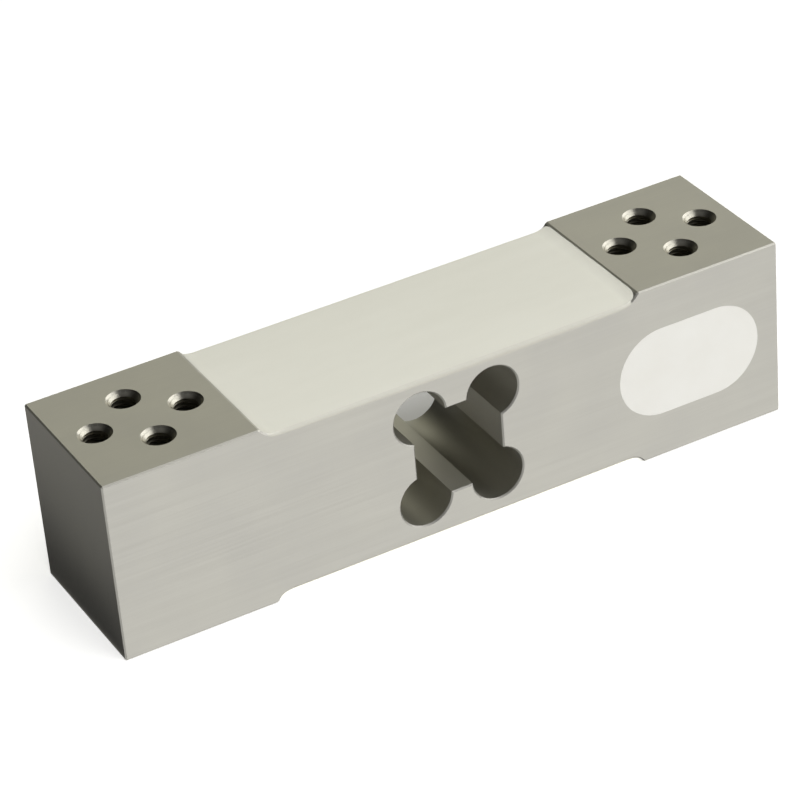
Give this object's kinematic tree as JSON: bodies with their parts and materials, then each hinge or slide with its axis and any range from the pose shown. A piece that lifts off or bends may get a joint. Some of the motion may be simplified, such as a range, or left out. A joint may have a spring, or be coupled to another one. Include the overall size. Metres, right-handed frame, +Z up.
{
  "type": "parallel beam load cell",
  "caption": "Aluminium bar that bends at a milled lobed window to measure load, with tapped end pads, strain gauges under white silicone and a potted side pocket.",
  "frame": {"origin": "middle of the beam's underside, on the plane of the two lower pads", "axes": "+X along the beam towards the end with the potted pocket, -Y is the face with the pocket, +Z up"},
  "size_m": [0.15, 0.035, 0.04],
  "materials": {
    "machined_aluminium": "fine milled, satin clear anodised",
    "coat_silicone": "brushed on, soft satin, cream white",
    "potting_silicone": "poured flush, satin white",
    "seal_rubber": "moulded, matt black",
    "polyimide_film": "thin amber film",
    "constantan_foil": "etched foil",
    "copper": "etched and tinned copper",
    "tinned_wire": "drawn and tinned",
    "board_laminate": "glass-epoxy laminate with solder resist",
    "resistor_ceramic": "fired ceramic chip with plated ends"
  },
  "bodies": {
    "root": {"beam": "machined_aluminium", "board_lands": "copper", "bottom_coat": "coat_silicone", "bottom_flex_circuit": "polyimide_film", "bottom_flex_pads": "copper", "bottom_jumpers": "tinned_wire", "bottom_left_gauge_film": "polyimide_film", "bottom_left_gauge_foil": "constantan_foil", "bottom_right_gauge_film": "polyimide_film", "bottom_right_gauge_foil": "constantan_foil", "inlet_seal": "seal_rubber", "pocket_potting": "potting_silicone", "top_coat": "coat_silicone", "top_flex_circuit": "polyimide_film", "top_flex_pads": "copper", "top_jumpers": "tinned_wire", "top_left_gauge_film": "polyimide_film", "top_left_gauge_foil": "constantan_foil", "top_right_gauge_film": "polyimide_film", "top_right_gauge_foil": "constantan_foil", "trim_resistor_1": "resistor_ceramic", "trim_resistor_2": "resistor_ceramic", "trim_resistor_3": "resistor_ceramic", "trim_resistor_4": "resistor_ceramic", "trimming_board": "board_laminate"}
  },
  "joints": []
}
